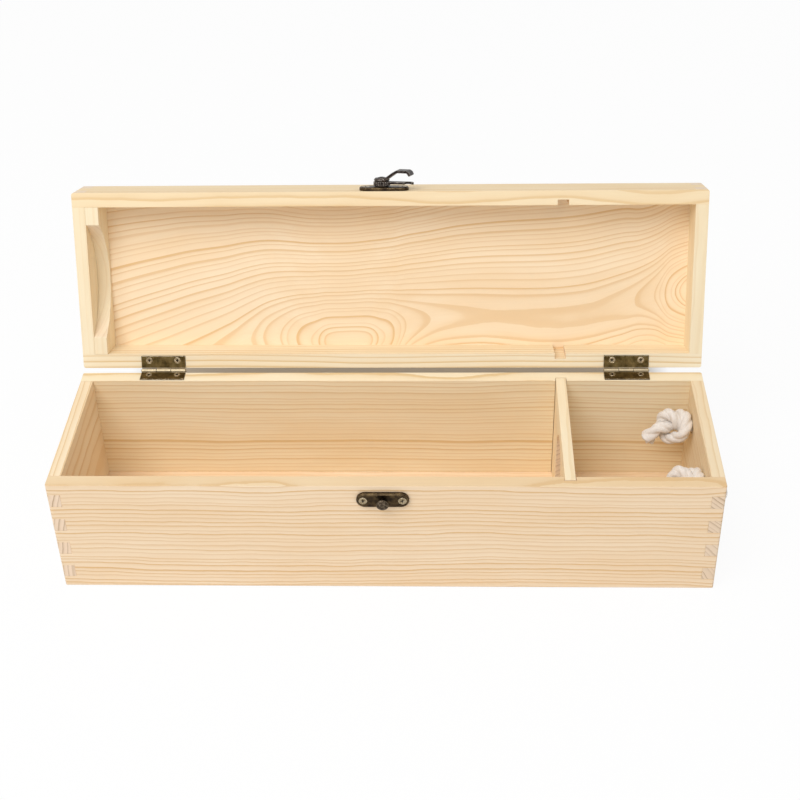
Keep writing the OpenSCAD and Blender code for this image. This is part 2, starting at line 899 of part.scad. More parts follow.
latch_screw(1);  // latch_screw_right
rope_knot(1);  // rope_knot_back
rope_knot(-1);  // rope_knot_front
rope_stub(1);  // rope_stub_back
rope_stub(-1);  // rope_stub_front
rope_loop();
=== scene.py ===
# %% [markdown]
# # A pine box with a hinged lid, a hook latch and a rope handle
# The real box is made of planed pine boards, dark brass fittings and one piece
# of white cotton rope. Its sizes are already settled in the CAD frame, so this
# file only dresses that frame: it gives every board its own cut of the log,
# ties the rope's knots, and puts light and a camera on the table.

# %% Load the frame
import json
import math

import bpy
import numpy as np
from mathutils import Matrix, Vector

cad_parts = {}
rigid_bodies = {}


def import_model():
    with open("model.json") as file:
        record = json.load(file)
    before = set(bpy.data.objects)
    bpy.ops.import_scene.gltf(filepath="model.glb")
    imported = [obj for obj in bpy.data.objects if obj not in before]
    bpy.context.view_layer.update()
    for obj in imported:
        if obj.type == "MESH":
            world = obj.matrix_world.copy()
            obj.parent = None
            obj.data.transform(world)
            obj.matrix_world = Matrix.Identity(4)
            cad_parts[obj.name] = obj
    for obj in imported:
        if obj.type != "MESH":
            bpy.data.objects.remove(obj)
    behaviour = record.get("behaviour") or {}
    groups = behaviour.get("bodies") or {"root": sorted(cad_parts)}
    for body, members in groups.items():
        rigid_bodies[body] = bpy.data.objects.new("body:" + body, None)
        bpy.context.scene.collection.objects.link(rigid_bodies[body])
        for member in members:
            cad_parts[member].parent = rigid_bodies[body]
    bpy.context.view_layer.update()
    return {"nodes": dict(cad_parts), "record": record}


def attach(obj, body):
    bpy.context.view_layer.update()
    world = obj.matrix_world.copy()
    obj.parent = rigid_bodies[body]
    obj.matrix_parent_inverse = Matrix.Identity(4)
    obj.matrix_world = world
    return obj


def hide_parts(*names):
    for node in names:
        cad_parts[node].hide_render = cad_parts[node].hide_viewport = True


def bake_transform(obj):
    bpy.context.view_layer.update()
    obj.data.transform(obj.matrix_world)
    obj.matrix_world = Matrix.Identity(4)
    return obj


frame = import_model()
nodes = frame["nodes"]

# %% [markdown]
# ## The camera
# The photograph looks down into the open box from the front. Its height, its
# distance and its lens were fitted to the box's corners beforehand, so here the
# camera is only built from those numbers: a position, three small angles and a
# focal length in pixels of an 800 pixel wide picture. A matrix says it more
# exactly than a camera that is aimed by a constraint.

# %% Camera
PICTURE = 800
FOCAL_PIXELS = 1473
CAMERA_PLACE = (0.0379, -0.6278, 0.5551)
yaw, pitch, roll = (math.radians(a) for a in (-2.76, 36.57, -1.65))
forward = Vector((math.sin(yaw) * math.cos(pitch), math.cos(yaw) * math.cos(pitch), -math.sin(pitch)))
level_right = Vector((math.cos(yaw), -math.sin(yaw), 0))
level_up = level_right.cross(forward)
right = level_right * math.cos(roll) + level_up * math.sin(roll)
up = level_up * math.cos(roll) - level_right * math.sin(roll)

lens = bpy.data.cameras.new("camera")
lens.sensor_width = 36
lens.lens = FOCAL_PIXELS / PICTURE * lens.sensor_width
camera = bpy.data.objects.new("camera", lens)
bpy.context.scene.collection.objects.link(camera)
turn = Matrix((right, up, -forward)).transposed().to_4x4()
camera.matrix_world = Matrix.Translation(CAMERA_PLACE) @ turn
bpy.context.scene.camera = camera
print(f"lens {lens.lens:.2f} mm")

# %% [markdown]
# ## The rope: where it goes
# One piece of 6 mm cotton rope makes the handle. It leaves a knot inside the
# right end wall, goes out through one hole, hangs down outside as a loop and
# comes back in through the other hole. The CAD model fixes that route; here it
# is repeated in millimetres for the back half, from the wall's inner face, and
# mirrored. A spline through the points keeps the bends round.

# %% The rope's route
ROPE_D = 0.006
WALL_INSIDE = 168
HALF_ROUTE = [
    (0, 25, 52), (3.5, 24.5, 51.5), (6.5, 24, 50), (9, 23, 48), (10.5, 22, 45.5), (11.5, 20, 42),
    (11.5, 18.5, 38.5), (11, 17.5, 34.5), (11, 17, 30.5), (11, 16, 26), (11, 13.5, 21.5), (11, 10, 17.5),
    (11, 5.5, 15), (11, 0, 14)]
RING_STEP = 0.0005   # from one ring of the rope's mesh to the next
HOLE_Y, HOLE_Z = HALF_ROUTE[0][1:]
half = np.array(HALF_ROUTE) + (WALL_INSIDE, 0, 0)
route = np.vstack([half, (half * (1, -1, 1))[-2::-1]]) / 1000


def smooth_line(points, step, cuts=12):
    """A Catmull-Rom spline through the points, cut into equal steps."""
    padded = np.vstack([2 * points[0] - points[1], points, 2 * points[-1] - points[-2]])
    t = np.linspace(0, 1, cuts, endpoint=False)[:, None]
    fine = [0.5 * (2 * b + (c - a) * t + (2 * a - 5 * b + 4 * c - d) * t**2 + (3 * b - a - 3 * c + d) * t**3)
            for a, b, c, d in zip(padded, padded[1:], padded[2:], padded[3:])]
    fine = np.vstack(fine + [points[-1:]])
    length = np.r_[0, np.cumsum(np.linalg.norm(np.diff(fine, axis=0), axis=1))]
    stops = np.linspace(0, length[-1], max(2, round(length[-1] / step) + 1))
    return np.stack([np.interp(stops, length, fine[:, k]) for k in range(3)], 1)


line = smooth_line(route, RING_STEP)

# %% [markdown]
# ## Laid rope from one lobed tube
# Cotton rope is three fat strands that wind round each other. Three separate
# spirals would hide most of their faces inside the rope. One tube whose
# section has three round lobes, and turns as it goes, looks the same from
# outside with a third of the faces. Each ring carries on the frame of the ring
# before it, so the twist stays even through every bend.

# %% Laid rope
STRANDS = 3
LAY = 0.021          # the length in which a strand goes once round
STRAND_SIZE = 0.66   # a strand's radius, as a share of the rope's
END_ZONE = 2.5       # an end swells or thins over this many radii


def laid_rope(name, line, body, radius=ROPE_D / 2, sides=42, ends=(1.0, 1.0)):
    """A twisted rope along a line of points; ends says how full each end's last ring is."""
    way = np.gradient(line, axis=0)
    way /= np.linalg.norm(way, axis=1, keepdims=True)
    side = np.cross(way[0], (0.1, 0.2, 1.0))   # any direction across the rope
    travelled = np.r_[0, np.cumsum(np.linalg.norm(np.diff(line, axis=0), axis=1))]
    around = np.arange(sides) / sides
    strand = STRAND_SIZE * radius
    offset = radius - strand
    from_lobe = ((around * STRANDS + 0.5) % 1 - 0.5) * math.tau / STRANDS
    lobed = offset * np.cos(from_lobe) + np.sqrt(strand**2 - (offset * np.sin(from_lobe))**2)
    rings = []
    for k, (centre, ahead) in enumerate(zip(line, way)):
        side = side - ahead * side.dot(ahead)
        side /= np.linalg.norm(side)
        angle = (around + travelled[k] / LAY) * math.tau
        to_end = min(travelled[k], travelled[-1] - travelled[k]) / (END_ZONE * radius)
        full = ends[0] if travelled[k] < travelled[-1] / 2 else ends[1]
        size = 1 - (1 - full) * max(0.0, 1 - to_end)**2
        rings.append(centre + size * lobed[:, None] * (np.cos(angle)[:, None] * side
                                                       + np.sin(angle)[:, None] * np.cross(ahead, side)))
    count = len(line)
    points = np.vstack(rings + [line[:1], line[-1:]])
    faces, spread = [], []
    for k in range(count - 1):
        for j in range(sides):
            j2 = (j + 1) % sides
            faces.append((k * sides + j, k * sides + j2, (k + 1) * sides + j2, (k + 1) * sides + j))
            u, u2 = j / sides, (j + 1) / sides
            v, v2 = travelled[k] / LAY, travelled[k + 1] / LAY
            spread += [(u, v), (u2, v), (u2, v2), (u, v2)]
    for j in range(sides):
        j2 = (j + 1) % sides
        faces.append((j2, j, count * sides))
        faces.append(((count - 1) * sides + j, (count - 1) * sides + j2, count * sides + 1))
        spread += [(j / sides, 0)] * 3 + [(j / sides, travelled[-1] / LAY)] * 3
    mesh = bpy.data.meshes.new(name)
    mesh.from_pydata([tuple(p) for p in points], [], faces)
    uv = mesh.uv_layers.new(name="laid")
    uv.data.foreach_set("uv", np.array(spread, np.float32).ravel())
    mesh.polygons.foreach_set("use_smooth", [True] * len(faces))
    mesh.update()
    piece = bpy.data.objects.new(name, mesh)
    bpy.context.scene.collection.objects.link(piece)
    if body:
        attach(piece, body)
    return piece


handle_rope = laid_rope("handle_rope", line, None)
print("handle rope:", len(handle_rope.data.polygons), "faces")

# %% [markdown]
# ## Tying the knots
# An overhand knot is hard to place point by point, and easy to write down
# loose: three short polynomials give its curve. So the knot is tied loose and
# then pulled tight in small steps, as hands would do it. In each step the two
# ends are drawn apart, every link keeps its length, the rope straightens a
# little, and strands that come nearer than one thickness push each other away.

# %% A tight overhand knot
LOOSE_HALF = 2.35    # the polynomials tie the knot between minus and plus this value
LOOSE_SIZE = 0.62    # size of the loose knot, in thicknesses of the rope
FREE_LINKS = 1.5     # strands that are nearer along the rope, in its thicknesses, never push
TO_AXIS = 0.9        # how much of its distance from the axis an end keeps at each pull
ROUNDS = 30          # how often the links settle after each pull
STRAIGHTEN = 0.12    # how strongly a bend opens in one round
PUSH = 0.25          # how far two strands that are too near move apart in one round


def overhand_knot(thick, count=100, steps=240, pull=0.35):
    """The middle line of a tight knot, with its two ends drawn out along X."""
    t = np.linspace(-LOOSE_HALF, LOOSE_HALF, 600)
    loose = np.stack([t**3 - 3 * t, t**4 - 4 * t**2, t**5 / 10 - t], 1) * thick * LOOSE_SIZE
    length = np.r_[0, np.cumsum(np.linalg.norm(np.diff(loose, axis=0), axis=1))]
    knot = np.stack([np.interp(np.linspace(0, length[-1], count), length, loose[:, k]) for k in range(3)], 1)
    link = length[-1] / (count - 1)
    first, second = np.triu_indices(count, int(np.ceil(FREE_LINKS * thick / link)))
    for _ in range(steps):
        knot[0, 0] -= pull
        knot[-1, 0] += pull
        knot[[0, -1], 1:] *= TO_AXIS
        for _ in range(ROUNDS):
            knot[1:-1] += STRAIGHTEN * ((knot[:-2] + knot[2:]) / 2 - knot[1:-1])
            for a in (0, 1):
                gap = knot[1:] - knot[:-1]
                far = np.linalg.norm(gap, axis=1, keepdims=True)
                shift = 0.5 * (far - link) / far * gap
                knot[:-1][a::2] += shift[a::2]
                knot[1:][a::2] -= shift[a::2]
            gap = knot[second] - knot[first]
            far = np.linalg.norm(gap, axis=1)
            near = far < thick
            push = (PUSH * (thick - far[near]) / far[near])[:, None] * gap[near]
            np.add.at(knot, first[near], -push)
            np.add.at(knot, second[near], push)
    return knot


KNOT_ROPE = 6.8   # the rope bulges a little where it is knotted, in mm
tight = overhand_knot(KNOT_ROPE)
core = tight[np.abs(tight[:, 0]) < 12]
print("tight knot, across its turns:", np.round(np.ptp(core, axis=0) + KNOT_ROPE, 1), "mm")

# %% [markdown]
# ## Setting the knots against the wall
# The tight knot is turned about the rope until its lobes lie as they do on the
# real box, pressed a little flatter, and set against the wall with its rope in
# the hole. Its tail is cut short and droops.

# %% The two knots
LOBES = slice(30, 72)        # the links whose turns may touch the wall
TURNS = slice(36, 66)        # the links in the middle of the knot
STANDING = 45                # the links before this one lead to the hole
TAIL_AFTER = 40              # the tail starts at a link after this one
TAIL_AT = -7                 # and at this place on X, in mm from the knot's middle
HOLE_FROM, HOLE_TO = 4, 10   # between these places on X the rope swings onto the hole's axis
HOLE_STUB = 3                # how far the knot's own rope goes into the hole, in mm
DROOP_OVER = 5               # the length over which the tail bends down, in mm


def set_knot(name, y, roll, droop, tail, squeeze=0.72, node=None):
    """Turns the tight knot about its rope, sets it against the wall, and bends and cuts its tail."""
    turn = math.radians(roll)
    x = -squeeze * tight[:, 0]
    side = tight[:, 1] * math.cos(turn) + tight[:, 2] * math.sin(turn)
    high = tight[:, 1] * math.sin(turn) - tight[:, 2] * math.cos(turn)
    line = np.stack([x, side, high], 1)
    middle = line[TURNS].mean(0)
    line = line - (0, middle[1], middle[2])
    reach = line[LOBES, 0].max() + KNOT_ROPE / 2
    into = np.clip((line[:, 0] - HOLE_FROM) / (HOLE_TO - HOLE_FROM), 0, 1) * (np.arange(len(line)) < STANDING)
    line[:, 1:] *= 1 - into[:, None]
    line = line[line[:, 0] < reach + HOLE_STUB]
    leaves = np.argmin(np.where(np.arange(len(line)) > TAIL_AFTER, np.abs(line[:, 0] - TAIL_AT), 99))
    start = line[leaves:]
    s = np.r_[0, np.cumsum(np.linalg.norm(np.diff(start, axis=0), axis=1))]
    keep = s < tail
    bend = np.radians(droop) * np.clip(s / DROOP_OVER, 0, 1)
    turned = [start[0]]
    for a, b, w in zip(start, start[1:], bend[1:]):
        step = b - a
        flat = math.hypot(step[0], step[2])
        angle = math.atan2(step[2], step[0]) + w
        turned.append(turned[-1] + (flat * math.cos(angle), step[1], flat * math.sin(angle)))
    line = np.vstack([line[:leaves], np.array(turned)[keep]])
    line = smooth_line((line + (WALL_INSIDE - reach, y, HOLE_Z)) / 1000, RING_STEP)
    piece = laid_rope(name, line, "box", radius=KNOT_ROPE / 2000, ends=(1.0, 1.45))
    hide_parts(node)
    return piece, line[-2:]


back_knot, back_tail = set_knot("knot_back", HOLE_Y, 225, 48, 11, node="rope_knot_back")
front_knot, front_tail = set_knot("knot_front", -HOLE_Y, 200, 40, 10, node="rope_knot_front")
for piece in (back_knot, front_knot):
    corners = np.array([v.co for v in piece.data.vertices]) * 1000
    print(piece.name, np.round(corners.min(0), 1), np.round(corners.max(0), 1))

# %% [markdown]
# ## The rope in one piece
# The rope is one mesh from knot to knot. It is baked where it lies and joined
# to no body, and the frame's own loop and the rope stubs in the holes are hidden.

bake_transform(handle_rope)
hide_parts("rope_loop", "rope_stub_back", "rope_stub_front")

# %% [markdown]
# ## Small helpers for node trees
# Every finish below is a tree of shader nodes. These helpers keep the trees
# readable. One adds a node and sets its inputs, one does sums, one fades from
# one value to another, one blends two colours, and one draws a curve.

# %% Helpers for node trees
def add(tree, kind, inputs=None, **settings):
    """A new node; an input is a value or another node's socket."""
    node = tree.nodes.new(kind)
    for key, value in settings.items():
        setattr(node, key, value)
    for key, value in (inputs or {}).items():
        if isinstance(value, bpy.types.NodeSocket):
            tree.links.new(value, node.inputs[key])
        else:
            node.inputs[key].default_value = value
    return node


def sums(tree, operation, *terms):
    inputs = dict(enumerate(terms))
    return add(tree, "ShaderNodeMath", inputs, operation=operation).outputs[0]


def fade(tree, amount, start, end, low=0.0, high=1.0):
    inputs = {"Value": amount, "From Min": start, "From Max": end, "To Min": low, "To Max": high}
    return add(tree, "ShaderNodeMapRange", inputs).outputs[0]


def blend_colours(tree, amount, first, second, way="MIX"):
    node = add(tree, "ShaderNodeMix", data_type="RGBA", blend_type=way)
    for socket, value in zip((node.inputs[0], node.inputs[6], node.inputs[7]), (amount, first, second)):
        if isinstance(value, bpy.types.NodeSocket):
            tree.links.new(value, socket)
        else:
            socket.default_value = value
    return node.outputs[2]


def draw_curve(tree, amount, points):
    """A curve through the points, drawn over 0 to 1; the first and last point are its ends."""
    node = add(tree, "ShaderNodeFloatCurve", {"Value": amount})
    curve = node.mapping.curves[0]
    curve.points[0].location, curve.points[1].location = points[0], points[-1]
    for x, y in points[1:-1]:
        curve.points.new(x, y)
    node.mapping.update()
    return node.outputs[0]


print("helpers:", add.__name__, sums.__name__, fade.__name__, blend_colours.__name__, draw_curve.__name__)

# %% [markdown]
# ## Cotton
# Each strand is a bundle of soft yarns, so it shows fine lines that run along
# it, and its fuzz catches the light at the edges. The lines follow the rope's
# own UV map, which winds with the strands.

# %% Cotton rope finish
COTTON_SHADE = (0.74, 0.67, 0.60, 1)
COTTON_WHITE = (0.90, 0.85, 0.80, 1)


def cotton_finish():
    """Soft yarns that follow the strands, with fuzz over them."""
    material = bpy.data.materials.new("white cotton rope")
    material.use_nodes = True
    tree = material.node_tree
    shader = tree.nodes["Principled BSDF"]
    uv = add(tree, "ShaderNodeUVMap", uv_map="laid").outputs[0]
    place = add(tree, "ShaderNodeMapping", {"Vector": uv, "Scale": (60, 9, 1)}).outputs[0]
    yarn = add(tree, "ShaderNodeTexNoise", {"Vector": place, "Scale": 1.0, "Detail": 3.0}).outputs[0]
    fuzz = add(tree, "ShaderNodeTexNoise", {"Vector": add(tree, "ShaderNodeTexCoord").outputs["Object"],
                                            "Scale": 900.0, "Detail": 2.0}).outputs[0]
    lines = sums(tree, "ADD", sums(tree, "MULTIPLY", yarn, 0.7), sums(tree, "MULTIPLY", fuzz, 0.3))
    colour = blend_colours(tree, fade(tree, lines, 0.35, 0.62), COTTON_SHADE, COTTON_WHITE)
    tree.links.new(colour, shader.inputs["Base Color"])
    tree.links.new(fade(tree, fuzz, 0.3, 0.7, 0.8, 0.95), shader.inputs["Roughness"])
    bump = add(tree, "ShaderNodeBump", {"Height": lines, "Strength": 0.6, "Distance": 0.0004})
    tree.links.new(bump.outputs[0], shader.inputs["Normal"])
    shader.inputs["Sheen Weight"].default_value = 0.25
    shader.inputs["Sheen Roughness"].default_value = 0.5
    shader.inputs["Specular IOR Level"].default_value = 0.2
    return material


cotton = cotton_finish()
for piece in (handle_rope, back_knot, front_knot):
    piece.data.materials.append(cotton)
print("cotton on", handle_rope.name, back_knot.name, front_knot.name)

# %% [markdown]
# ## How pine gets its grain
# A trunk grows one ring a year: a broad pale layer in spring, and a thin dark
# one in late summer that stops sharply. A board is a slice of that stack of
# cylinders, so the lines on its face depend on where the saw went. An image of
# wood would look pasted on at the edges. Here the rings are worked out in three
# dimensions instead: the distance from the heart of the log, divided by the
# width of a ring. The same sum then gives straight lines on one face, ovals on
# another and curved end grain on a finger of a joint.

# %% Node group: rings of a pine log
PINE_CREAM = (0.93, 0.745, 0.535, 1)
PINE_HONEY = (0.90, 0.68, 0.45, 1)
PINE_LATE = (0.745, 0.475, 0.225, 1)
PINE_FIBRE = (0.78, 0.58, 0.38, 1)
PINE_END = (0.82, 0.57, 0.46, 1)
PINE_END_LINE = (0.48, 0.30, 0.17, 1)
# how dark the wood is from the start of a year's growth, 0, to its end, 1
YEAR = [(0.0, 0.3), (0.04, 0.0), (0.45, 0.06), (0.72, 0.35), (0.9, 1.0), (1.0, 0.85)]


def make_pine_group():
    """Colour, roughness and height of pine at any place in a board."""
    tree = bpy.data.node_groups.new("pine cut from a log", "ShaderNodeTree")
    face = tree.interface
    for name, kind, value in [
            ("Board", "NodeSocketVector", None), ("Grain Axis", "NodeSocketVector", None),
            ("Heart Across", "NodeSocketFloat", 0.1), ("Heart Depth", "NodeSocketFloat", 0.05),
            ("Ring Width", "NodeSocketFloat", 0.0026), ("Wander", "NodeSocketFloat", 0.002),
            ("Contrast", "NodeSocketFloat", 1.0), ("First Ring", "NodeSocketFloat", 0.0),
            ("Seed", "NodeSocketFloat", 0.0), ("Tint", "NodeSocketColor", (1, 1, 1, 1))]:
        socket = face.new_socket(name, in_out="INPUT", socket_type=kind)
        if value is not None:
            socket.default_value = value
    for name, kind in [("Color", "NodeSocketColor"), ("Roughness", "NodeSocketFloat"),
                       ("Height", "NodeSocketFloat")]:
        face.new_socket(name, in_out="OUTPUT", socket_type=kind)
    given = tree.nodes.new("NodeGroupInput").outputs
    split = add(tree, "ShaderNodeSeparateXYZ", {0: given["Board"]}).outputs

    def noise(stretch, detail, roughness, shift):
        place = add(tree, "ShaderNodeMapping", {"Vector": given["Board"], "Scale": stretch}).outputs[0]
        seed = sums(tree, "ADD", given["Seed"], shift)
        return add(tree, "ShaderNodeTexNoise", {"Vector": place, "W": seed, "Scale": 1.0, "Detail": detail,
                                                "Roughness": roughness}, noise_dimensions="4D").outputs[0]

    # the heart of the log wanders a little along the board
    slow = sums(tree, "SUBTRACT", noise((9, 14, 14), 1.0, 0.5, 0.0), 0.5)
    slow = sums(tree, "MULTIPLY", slow, sums(tree, "MULTIPLY", given["Wander"], 4.0))
    quick = sums(tree, "SUBTRACT", noise((45, 90, 90), 4.0, 0.5, 3.1), 0.5)
    quick = sums(tree, "MULTIPLY", quick, given["Wander"])
    across = sums(tree, "SUBTRACT", sums(tree, "ADD", split[1], sums(tree, "ADD", slow, quick)),
                  given["Heart Across"])
    depth = sums(tree, "SUBTRACT", sums(tree, "ADD", split[2], quick), given["Heart Depth"])
    reach = sums(tree, "SQRT", sums(tree, "ADD", sums(tree, "MULTIPLY", across, across),
                                    sums(tree, "MULTIPLY", depth, depth)))
    count = sums(tree, "ADD", sums(tree, "DIVIDE", reach, given["Ring Width"]), given["First Ring"])

    # good and bad years: no two rings are equally wide or equally dark
    years = add(tree, "ShaderNodeTexNoise", {"W": sums(tree, "ADD", sums(tree, "MULTIPLY", count, 0.55),
                                                      given["Seed"]), "Scale": 1.0, "Detail": 1.0},
                noise_dimensions="1D").outputs[0]
    uneven = sums(tree, "ADD", count, sums(tree, "MULTIPLY", years, 1.1))
    part = sums(tree, "FRACT", uneven)
    year = sums(tree, "FLOOR", uneven)
    dark_year = add(tree, "ShaderNodeTexWhiteNoise", {"W": sums(tree, "ADD", year, given["Seed"])},
                    noise_dimensions="1D").outputs[0]
    strength = sums(tree, "MULTIPLY", draw_curve(tree, part, YEAR), fade(tree, dark_year, 0, 1, 0.35, 1.0))
    strength = sums(tree, "MULTIPLY", strength, given["Contrast"])

    # fibres and clouds are drawn out along the grain
    fibre = noise((40, 1300, 1300), 3.0, 0.6, 7.7)
    cloud = noise((12, 60, 60), 2.0, 0.6, 5.3)

    # a saw cut across the grain shows darker wood with browner lines
    turned = add(tree, "ShaderNodeTexCoord").outputs["Normal"]
    along = add(tree, "ShaderNodeVectorMath", {0: turned, 1: given["Grain Axis"]}, operation="DOT_PRODUCT")
    end = fade(tree, sums(tree, "ABSOLUTE", along.outputs["Value"]), 0.5, 0.95)

    pale = blend_colours(tree, fade(tree, cloud, 0.35, 0.65), PINE_CREAM, PINE_HONEY)
    pale = blend_colours(tree, sums(tree, "MULTIPLY", end, 0.5), pale, PINE_END)
    wood = blend_colours(tree, strength, pale, blend_colours(tree, end, PINE_LATE, PINE_END_LINE))
    wood = blend_colours(tree, fade(tree, fibre, 0.3, 0.75, 0.0, 0.22), wood, PINE_FIBRE)
    wood = blend_colours(tree, 1.0, wood, given["Tint"], "MULTIPLY")
    out = tree.nodes.new("NodeGroupOutput").inputs
    tree.links.new(wood, out["Color"])
    hard = sums(tree, "ADD", strength, fibre)
    tree.links.new(fade(tree, hard, 0.3, 1.5, 0.62, 0.48), out["Roughness"])
    tree.links.new(sums(tree, "MULTIPLY", hard, 0.5), out["Height"])
    return tree


pine_group = make_pine_group()
print("pine group:", len(pine_group.nodes), "nodes")

# %% [markdown]
# ## A log that was never straight
# Near a branch the trunk bulges, and a board from there shows ovals and long
# slanting lines. A guide bends the log in the same way. At several places along
# the board it says where the heart lies across the board and how deep under it,
# in millimetres, and how steeply the saw met the rings. A curve node joins the
# places smoothly, which no noise texture could do on purpose.

# %% Bend the log
GUIDE_REACH = 180   # the guide's curves run from this far left of the middle to this far right, in mm
GUIDE_LIMITS = [(0, 100, 0.001), (-50, 0, 0.001), (0, 1.5, 1)]   # lowest and highest value, and the unit


def follow_guide(tree, board, guide):
    """Moves and stretches the board's coordinates so that the rings follow the guide."""
    along = add(tree, "ShaderNodeSeparateXYZ", {0: board}).outputs[0]
    at = fade(tree, along, -GUIDE_REACH / 1000, GUIDE_REACH / 1000)
    parts = []
    for k, (low, high, unit) in enumerate(GUIDE_LIMITS, start=1):
        points = [((row[0] + GUIDE_REACH) / (2 * GUIDE_REACH), (row[k] - low) / (high - low))
                  for row in guide]
        parts.append(fade(tree, draw_curve(tree, at, points), 0, 1, low * unit, high * unit))
    bend = add(tree, "ShaderNodeCombineXYZ", {1: parts[0], 2: parts[1]}).outputs[0]
    slant = add(tree, "ShaderNodeCombineXYZ", {0: 1.0, 1: parts[2], 2: 1.0}).outputs[0]
    moved = add(tree, "ShaderNodeVectorMath", {0: board, 1: bend}, operation="SUBTRACT").outputs[0]
    return add(tree, "ShaderNodeVectorMath", {0: moved, 1: slant}, operation="MULTIPLY").outputs[0]


print("a guide reaches", GUIDE_REACH, "mm to each side")

# %% [markdown]
# ## A board from the log
# Each board has its own material, because each was sawn from its own place in
# the log. A Mapping node turns the piece's coordinates so that X runs along the
# grain, and the group above does the rest. Fingers of the same board then show
# end grain by themselves. A top-shade colour darkens the faces that look up: a
# painted shade where the light from above leaves a top too bright.

# %% Cut a board
def cut_board(name, along, across, centre, seed, guide=None, painted_top_shade=None, **saw):
    """Gives a CAD board its own cut of the log: its grain runs along one direction."""
    along, across = Vector(along).normalized(), Vector(across).normalized()
    through = along.cross(across)
    turn = Matrix((along, across, through))
    material = bpy.data.materials.new("pine " + name.replace("_", " "))
    material.use_nodes = True
    tree = material.node_tree
    shader = tree.nodes["Principled BSDF"]
    place = add(tree, "ShaderNodeTexCoord").outputs
    board = add(tree, "ShaderNodeMapping", {"Vector": place["Object"], "Rotation": turn.to_euler("XYZ"),
                                            "Location": -(turn @ Vector(centre))}).outputs[0]
    if guide:
        board = follow_guide(tree, board, guide)
    inputs = {"Board": board, "Grain Axis": along, "Seed": seed}
    for key, value in saw.items():
        inputs[key.replace("_", " ").title()] = value
    rings = add(tree, "ShaderNodeGroup", node_tree=pine_group)
    for key, value in inputs.items():
        if isinstance(value, bpy.types.NodeSocket):
            tree.links.new(value, rings.inputs[key])
        else:
            rings.inputs[key].default_value = value
    wood = rings.outputs["Color"]
    # a painted shade on the faces that look up
    if painted_top_shade:
        facing = add(tree, "ShaderNodeSeparateXYZ", {0: place["Normal"]}).outputs[2]
        darkened = blend_colours(tree, 1.0, wood, painted_top_shade, "MULTIPLY")
        wood = blend_colours(tree, fade(tree, facing, 0.6, 0.9), wood, darkened)
    tree.links.new(wood, shader.inputs["Base Color"])
    tree.links.new(rings.outputs["Roughness"], shader.inputs["Roughness"])
    bump = add(tree, "ShaderNodeBump", {"Height": rings.outputs["Height"], "Strength": 0.35,
                                        "Distance": 0.0002})
    tree.links.new(bump.outputs[0], shader.inputs["Normal"])
    shader.inputs["Specular IOR Level"].default_value = 0.3
    nodes[name].data.materials.clear()
    nodes[name].data.materials.append(material)
    BOARDS.append(name)


BOARDS = []
PALE = (1.03, 1.13, 1.15, 1)        # a tint for boards that are paler than the front
# a painted shade for the top face of the front wall
TOP_SHADE_TINT = (0.92, 0.905, 0.82, 1)
X, Y, Z = Vector((1, 0, 0)), Vector((0, 1, 0)), Vector((0, 0, 1))
cut_board("front_wall", X, Z, (0, -0.046, 0.035), 1.0, heart_across=-0.25, heart_depth=-0.07,
          contrast=1.35, painted_top_shade=TOP_SHADE_TINT)
cut_board("back_wall", X, Z, (0, 0.046, 0.035), 2.0, heart_across=-0.3, heart_depth=0.08, tint=PALE)
cut_board("left_end_wall", Y, Z, (-0.1715, 0, 0.035), 3.0, heart_across=-0.04, heart_depth=0.2,
          tint=(1.02, 1.08, 1.10, 1))
cut_board("right_end_wall", Y, Z, (0.1715, 0, 0.035), 4.0, heart_across=-0.12, heart_depth=-0.12,
          contrast=0.8, tint=(0.97, 1.03, 1.03, 1))
cut_board("floor_panel", X, Y, (0, 0, 0.0025), 5.0, heart_across=-0.1, heart_depth=-0.1, contrast=0.7)
cut_board("divider_board", Y, Z, (0.096, 0, 0.035), 6.0, heart_across=-0.2, heart_depth=0.1,
          contrast=0.6, tint=PALE)
print("cut for the body:", ", ".join(BOARDS))

# %% [markdown]
# ## The lid's boards
# The lid stands open, so its boards lean back, and their grain has to lean with
# them. Its panel is the board that the eye rests on. It was sawn close under
# the bark where the trunk bulged twice near a knot: once left of the middle and
# once past the right end. Its guide puts the ovals and the broad pale streak
# there.

# %% Cut the lid
LID_ACROSS = Vector((0, -0.342, -0.940))   # the lid's +Y when it is shut, as it stands open
LID_UP = Vector((0, 0.940, -0.342))        # the lid's +Z when it is shut, as it stands open
for k, name in enumerate(["lid_front_rail", "lid_back_rail"]):
    cut_board(name, X, LID_UP, (0, 0.06, 0.12), 7.0 + k, heart_across=-0.1, heart_depth=0.1,
              tint=(1.02, 1.05 + 0.08 * k, 0.98 + 0.2 * k, 1))
for k, name in enumerate(["lid_left_rail", "lid_right_rail", "cradle_strip"]):
    cut_board(name, LID_ACROSS, LID_UP, (0, 0.06, 0.12), 9.0 + k, heart_across=-0.1, heart_depth=0.1,
              contrast=0.4, tint=PALE)
# place along the lid, heart across, heart deep, slant
LID_GUIDE = [
    (-175, 95, -25, 0.6), (-130, 62, -30, 0.75), (-95, 44, -30, 0.9), (-70, 37, -25, 1),
    (-45, 39, -15, 1.05), (-25, 40, -10, 1.05), (-5, 37, -15, 1.05), (15, 28, -25, 1.1),
    (40, 25, -27.5, 1.05), (100, 26, -27.5, 0.95), (130, 19, -27, 1), (145, 14, -25, 1.1),
    (160, 11, -15, 1.1), (175, 10, -5, 1.1)]
cut_board("lid_panel", X, LID_ACROSS, (0, 0.08925, 0.1125), 12.0, guide=LID_GUIDE, heart_across=0,
          heart_depth=0, ring_width=0.0024, wander=0.0007, first_ring=-0.36, contrast=1.0,
          tint=(1.07, 1.10, 1.10, 1))
print("pine on", len(BOARDS), "boards")

# %% [markdown]
# ## Edges that a hand can hold
# Boards that are sawn, planed and sanded never end in a perfectly sharp edge,
# and the thin line of light along each edge is what makes wood and brass look
# solid. The frame's meshes are loose triangles, so three modifiers do the work:
# the first joins the triangles, the second turns each flat side into one face,
# and the third cuts a small rounding along every edge that is left.

